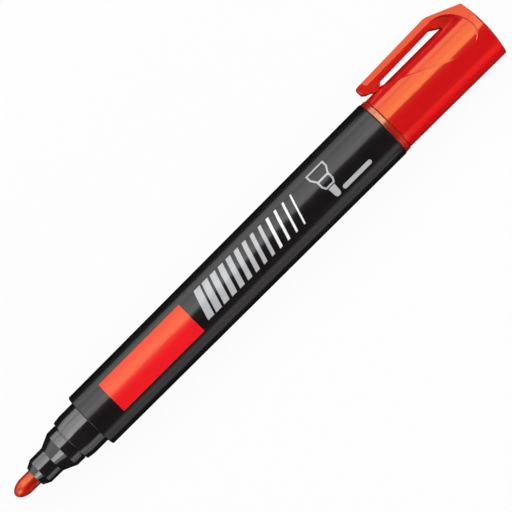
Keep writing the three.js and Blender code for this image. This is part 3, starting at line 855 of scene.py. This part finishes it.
def build_cap():
    angles = cap_angles()
    n = len(angles)
    ones = np.ones(n)
    no, yes = np.zeros(n, bool), np.ones(n, bool)
    rows = []

    def add(x, y, z):
        rows.append(np.stack([np.broadcast_to(x, angles.shape), y, z], 1))

    def add_surface(x, ridge):
        add(x, *cap_surface(x * ones, angles, ridge))

    def shrink(x, ridge, inset):
        """The surface's points moved by inset towards the axis."""
        y, z = cap_surface(x * ones, angles, ridge)
        share = 1 - inset / np.hypot(y, z)
        return y * share, z * share

    for x, inset in CAP_LIP:
        add(x, *shrink(x, no, inset))
    for x in np.arange(MOUTH_ROW_STEP, MOUTH_ROWS_END, MOUTH_ROW_STEP):
        add_surface(x, no)
    for x in np.arange(POCKET_ROWS_START, POCKET_ROWS_END, POCKET_ROW_STEP):
        add_surface(x, no)
    add_surface(SEAM_X, no)
    add_surface(SEAM_X, yes)
    for x in np.arange(SEAM_X + ROOT_ROW_STEP, RIM_ROWS_START, ROOT_ROW_STEP):
        add_surface(x, yes)
    # Up to the rim, round it and over the dome
    rim = RIM_GUESS * ones
    for _ in range(RIM_PASSES):
        rim = dome_x(*cap_surface(rim, angles, yes))
    for u in np.linspace(0, 1, RIM_ROWS + 1)[1:]:
        add_surface(RIM_ROWS_START + (rim - RIM_ROUND - RIM_ROWS_START) * u, yes)
    before = np.stack([rim - RIM_ROUND, *cap_surface(rim - RIM_ROUND, angles, yes)])
    corner = np.stack([rim, *cap_surface(rim, angles, yes)])
    y, z = shrink(rim, yes, RIM_ROUND)
    after = np.stack([dome_x(y, z), y, z])
    for u in np.linspace(0, 1, RIM_ROUND_ROWS + 1)[1:]:
        add(*((1 - u) ** 2 * before + 2 * u * (1 - u) * corner + u * u * after))
    for u in np.linspace(1, 0, DOME_ROWS + 2)[1:-1]:
        add(dome_x(y * u, z * u), y * u, z * u)
    first_inner = len(rows)
    for x, r in CAP_BORE:
        add(x, r * np.cos(angles), r * np.sin(angles))
    centres = np.array([[dome_x(0.0, 0.0), 0, 0], [CAP_BORE[-1][0], 0, 0]])
    verts = np.concatenate(rows + [centres])
    top, bottom = len(rows) * n, len(rows) * n + 1
    faces = []

    def bridge(a, b, flip=False):
        for j in range(n):
            k = (j + 1) % n
            quad = (a * n + j, b * n + j, b * n + k, a * n + k)
            faces.append(quad[::-1] if flip else quad)

    for i in range(first_inner - 1):
        bridge(i, i + 1, True)
    for i in range(first_inner, len(rows) - 1):
        bridge(i, i + 1)
    bridge(0, first_inner)
    for j in range(n):
        k = (j + 1) % n
        faces.append((top, (first_inner - 1) * n + j, (first_inner - 1) * n + k))
        faces.append((bottom, (len(rows) - 1) * n + k, (len(rows) - 1) * n + j))
    make_mesh("cap", verts, faces, MOUTH, "cap", cap_mat, ["cap_shell"], sharp=50)


def clip_under(x):
    """Height of the clip's underside at x, with its corners softened."""
    xs, ys = CLIP_UNDER.T
    return sum(np.interp(x + d, xs, ys) for d in UNDER_BLUR) / len(UNDER_BLUR)


def stretch(x, start, rise, end, fall):
    """1 along a stretch of x, easing to 0 at its start and end."""
    return float(smooth((x - start) / rise) * smooth((end - x) / fall))


def quarter_drop(radius, into):
    """How far a quarter round of this radius lies below its top at a distance into it."""
    return radius - math.sqrt(radius**2 - (radius - into) ** 2)


def clip_section(x):
    """The clip's outline at x, as a closed ring of (y, z) points."""
    top = float(ridge_top(x))
    low = float(clip_under(x)) if x < SEAM_X - TINY else POCKET_FLOOR
    half = CLIP_HALF
    into = x - CLIP_FRONT
    if into < CLIP_TIP_ROUND:
        top -= quarter_drop(CLIP_TIP_ROUND, into)
    if into < CLIP_TIP_CORNER:
        inset = quarter_drop(CLIP_TIP_CORNER, into)
        half -= inset
        low += inset
    face_z = min(float(bevel_z(x, top)), half - FACE_MARGIN)
    # The bevels start behind the tip and reach their full depth a little further on
    side_y = float(bevel_height(x, half))
    cut = top + (side_y - top) * min(max((x - BEVEL_START) / BEVEL_RUN, 0), 1)
    cut = min(cut, top - TINY)
    cut_z = face_z + (half - face_z) * (top - cut) / (top - side_y)
    cut_z = min(cut_z, half - BEVEL_MARGIN)
    # Along the free arm the lower edges are rounder. The foot follows the round cap.
    soft = CLIP_UNDER_FILLET + ARM_UNDER_FILLET * stretch(x, *ARM_STRETCH)
    hug = stretch(x, *FOOT_STRETCH)
    ring = rounded([
        (top, face_z, CLIP_FACE_FILLET), (cut, cut_z, 0.0), (cut, half, CLIP_SIDE_FILLET),
        (low, half, soft), (low, -half, soft), (cut, -half, CLIP_SIDE_FILLET),
        (cut, -cut_z, 0.0), (top, -face_z, CLIP_FACE_FILLET),
    ], CLIP_FILLET_STEPS)
    # The ring's points from first to last are the underside. It gets more of them in its middle.
    fillet_points = CLIP_FILLET_STEPS + 1
    first = 2 * fillet_points + 1
    middle = first + fillet_points
    last = middle + UNDER_POINTS + fillet_points
    inner = np.linspace(ring[middle - 1], ring[middle], UNDER_POINTS + 2)[1:-1]
    ring = np.concatenate([ring[:middle], inner, ring[middle:]])
    ring[first:last, 0] -= hug * (CLIP_FOOT - np.sqrt(CLIP_FOOT**2 - ring[first:last, 1] ** 2))
    return ring


def build_clip():
    tip = 1 - np.cos(np.linspace(0, math.pi / 2, CLIP_TIP_SECTIONS))
    xs = np.concatenate(
        [CLIP_FRONT + CLIP_TIP_ROUND * tip] + [np.arange(*part) for part in CLIP_SECTIONS]
        + [[SEAM_X]])
    rows = [np.array([(x, y, z) for y, z in clip_section(x)]) for x in xs]
    n = len(rows[0])
    centres = np.array([rows[0].mean(0), rows[-1].mean(0)])
    verts = np.concatenate(rows + [centres])
    faces = []
    for i in range(len(rows) - 1):
        for j in range(n):
            k = (j + 1) % n
            faces.append((i * n + j, i * n + k, (i + 1) * n + k, (i + 1) * n + j))
    front, rear, last = len(rows) * n, len(rows) * n + 1, (len(rows) - 1) * n
    for j in range(n):
        k = (j + 1) % n
        faces.append((front, k, j))
        faces.append((rear, last + j, last + k))
    clip = make_mesh(
        "clip", verts, faces, MOUTH, None, cap_mat, ["pocket_clip"], sharp=30)
    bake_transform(clip)


def sheet(name, corners, mat):
    """An object of one flat face with its corners in metres."""
    mesh = bpy.data.meshes.new(name)
    mesh.from_pydata(corners, [], [(0, 1, 2, 3)])
    mesh.materials.append(mat)
    obj = bpy.data.objects.new(name, mesh)
    bpy.context.scene.collection.objects.link(obj)
    return obj


def flat(x0, x1, y0, y1):
    return [(x0, y0, 0), (x1, y0, 0), (x1, y1, 0), (x0, y1, 0)]


def upright(x0, x1, y, z0, z1):
    return [(x0, y, z0), (x1, y, z0), (x1, y, z1), (x0, y, z1)]


def build_floor():
    mat, nodes, links, bsdf = material("floor")
    bsdf.inputs["Base Color"].default_value = (0.8, 0.8, 0.8, 1)
    bsdf.inputs["Roughness"].default_value = 0.9
    bsdf.inputs["Specular IOR Level"].default_value = 0.0
    ray = nodes.new("ShaderNodeLightPath").outputs
    other = calc(nodes, links, "MAXIMUM", ray["Is Glossy Ray"], ray["Is Transmission Ray"])
    seen = calc(nodes, links, "MAXIMUM", ray["Is Camera Ray"], other)
    mixer = nodes.new("ShaderNodeMixShader")
    links.new(calc(nodes, links, "MULTIPLY", seen, FLOOR_GLOW), mixer.inputs["Fac"])
    links.new(bsdf.outputs["BSDF"], mixer.inputs[1])
    links.new(emission(nodes, 1.0), mixer.inputs[2])
    links.new(mixer.outputs["Shader"], nodes["Material Output"].inputs["Surface"])
    floor = sheet("floor", flat(-FLOOR_HALF, FLOOR_HALF, -FLOOR_HALF, FLOOR_HALF), mat)


def card(name, corners, strength=0.0, colour=(1, 1, 1)):
    """A card or flag that shows only in gloss: a dark one edges a shine, a bright one adds one."""
    mat, nodes, links, _ = material(name)
    links.new(emission(nodes, strength, colour), nodes["Material Output"].inputs["Surface"])
    obj = sheet(name, [(x, y, z + CARD_LIFT) for x, y, z in corners], mat)
    obj.visible_camera = False
    obj.visible_diffuse = False
    obj.visible_transmission = False
    obj.visible_shadow = False


def build_cards():
    card("pen_dark_card", flat(CARD_FRONT_X, CARD_SPLIT_X, *PEN_CARD_Y))
    card("cap_dark_card", flat(CARD_SPLIT_X, CARD_REAR_X, *CAP_CARD_Y))
    card("bright_card", flat(CARD_FRONT_X, CARD_SPLIT_X, PEN_CARD_Y[1], CARD_FAR_Y), CARD_LIGHT)
    card(
        "cap_red_flag", upright(*RED_FLAG_X, RED_FLAG_Y, *RED_FLAG_Z),
        RED_FLAG_LIGHT, RED_FLAG_COLOUR)
    card("nib_dark_flag", upright(*NIB_FLAG_X, NIB_FLAG_Y, *NIB_FLAG_Z))


def build_world():
    """White to the camera. Otherwise dark above, with a pale horizon beside the marker."""
    world = bpy.data.worlds.new("studio")
    bpy.context.scene.world = world
    world.use_nodes = True
    nodes, links = world.node_tree.nodes, world.node_tree.links
    back = nodes["Background"]
    direction = axes(nodes, links, "Generated")
    along = calc(nodes, links, "ABSOLUTE", direction["X"])
    low = remap(nodes, links, direction["Z"], HORIZON_FADE, 1.0, 0.0)
    beside = remap(nodes, links, along, BESIDE_FADE, BESIDE_LIGHT, ALONG_LIGHT)
    pale = calc(nodes, links, "MULTIPLY_ADD", low, beside, SKY_LIGHT)
    ray = nodes.new("ShaderNodeLightPath").outputs
    strength = calc(nodes, links, "MAXIMUM", pale, ray["Is Camera Ray"])
    back.inputs["Color"].default_value = (1, 1, 1, 1)
    links.new(strength, back.inputs["Strength"])


def softbox(name, tilt_y, tilt_x, distance, width, height, radiance, shine):
    """A rectangular lamp seen from the marker at tilt_y degrees from straight up towards +Y and
    tilt_x towards +X. width runs along X, height across it. A shine lights no surface, and the
    other lamps are not seen in gloss."""
    a, b = math.radians(tilt_y), math.radians(tilt_x)
    direction = Vector((math.sin(b), math.sin(a) * math.cos(b), math.cos(a) * math.cos(b)))
    data = bpy.data.lights.new(name, "AREA")
    data.shape = "RECTANGLE"
    data.size = width
    data.size_y = height
    data.energy = radiance * math.pi * width * height
    lamp = bpy.data.objects.new(name, data)
    z = direction.normalized()
    x = (Vector((1, 0, 0)) - z * z.x).normalized()
    y = z.cross(x)
    turn = Matrix((x, y, z)).transposed().to_4x4()
    lamp.matrix_world = Matrix.Translation(z * distance) @ turn
    lamp.visible_camera = False
    lamp.visible_diffuse = not shine
    lamp.visible_glossy = shine
    bpy.context.scene.collection.objects.link(lamp)


def build_lamps():
    for lamp in LAMPS:
        softbox(*lamp, shine=False)
    for lamp in SHINES:
        softbox(*lamp, shine=True)


def build_camera():
    data = bpy.data.cameras.new("camera")
    data.sensor_width = 36
    data.lens = CAMERA_LENS
    data.clip_end = 20
    camera = bpy.data.objects.new("camera", data)
    bpy.context.scene.collection.objects.link(camera)
    camera.location = CAMERA_PLACE
    camera.rotation_euler = (0, 0, -math.radians(CAMERA_TURN))
    bpy.context.scene.camera = camera


build_pen()
build_print()
build_cap()
build_clip()
build_floor()
build_world()
build_lamps()
build_cards()
build_camera()
bpy.context.scene.view_settings.view_transform = "Standard"
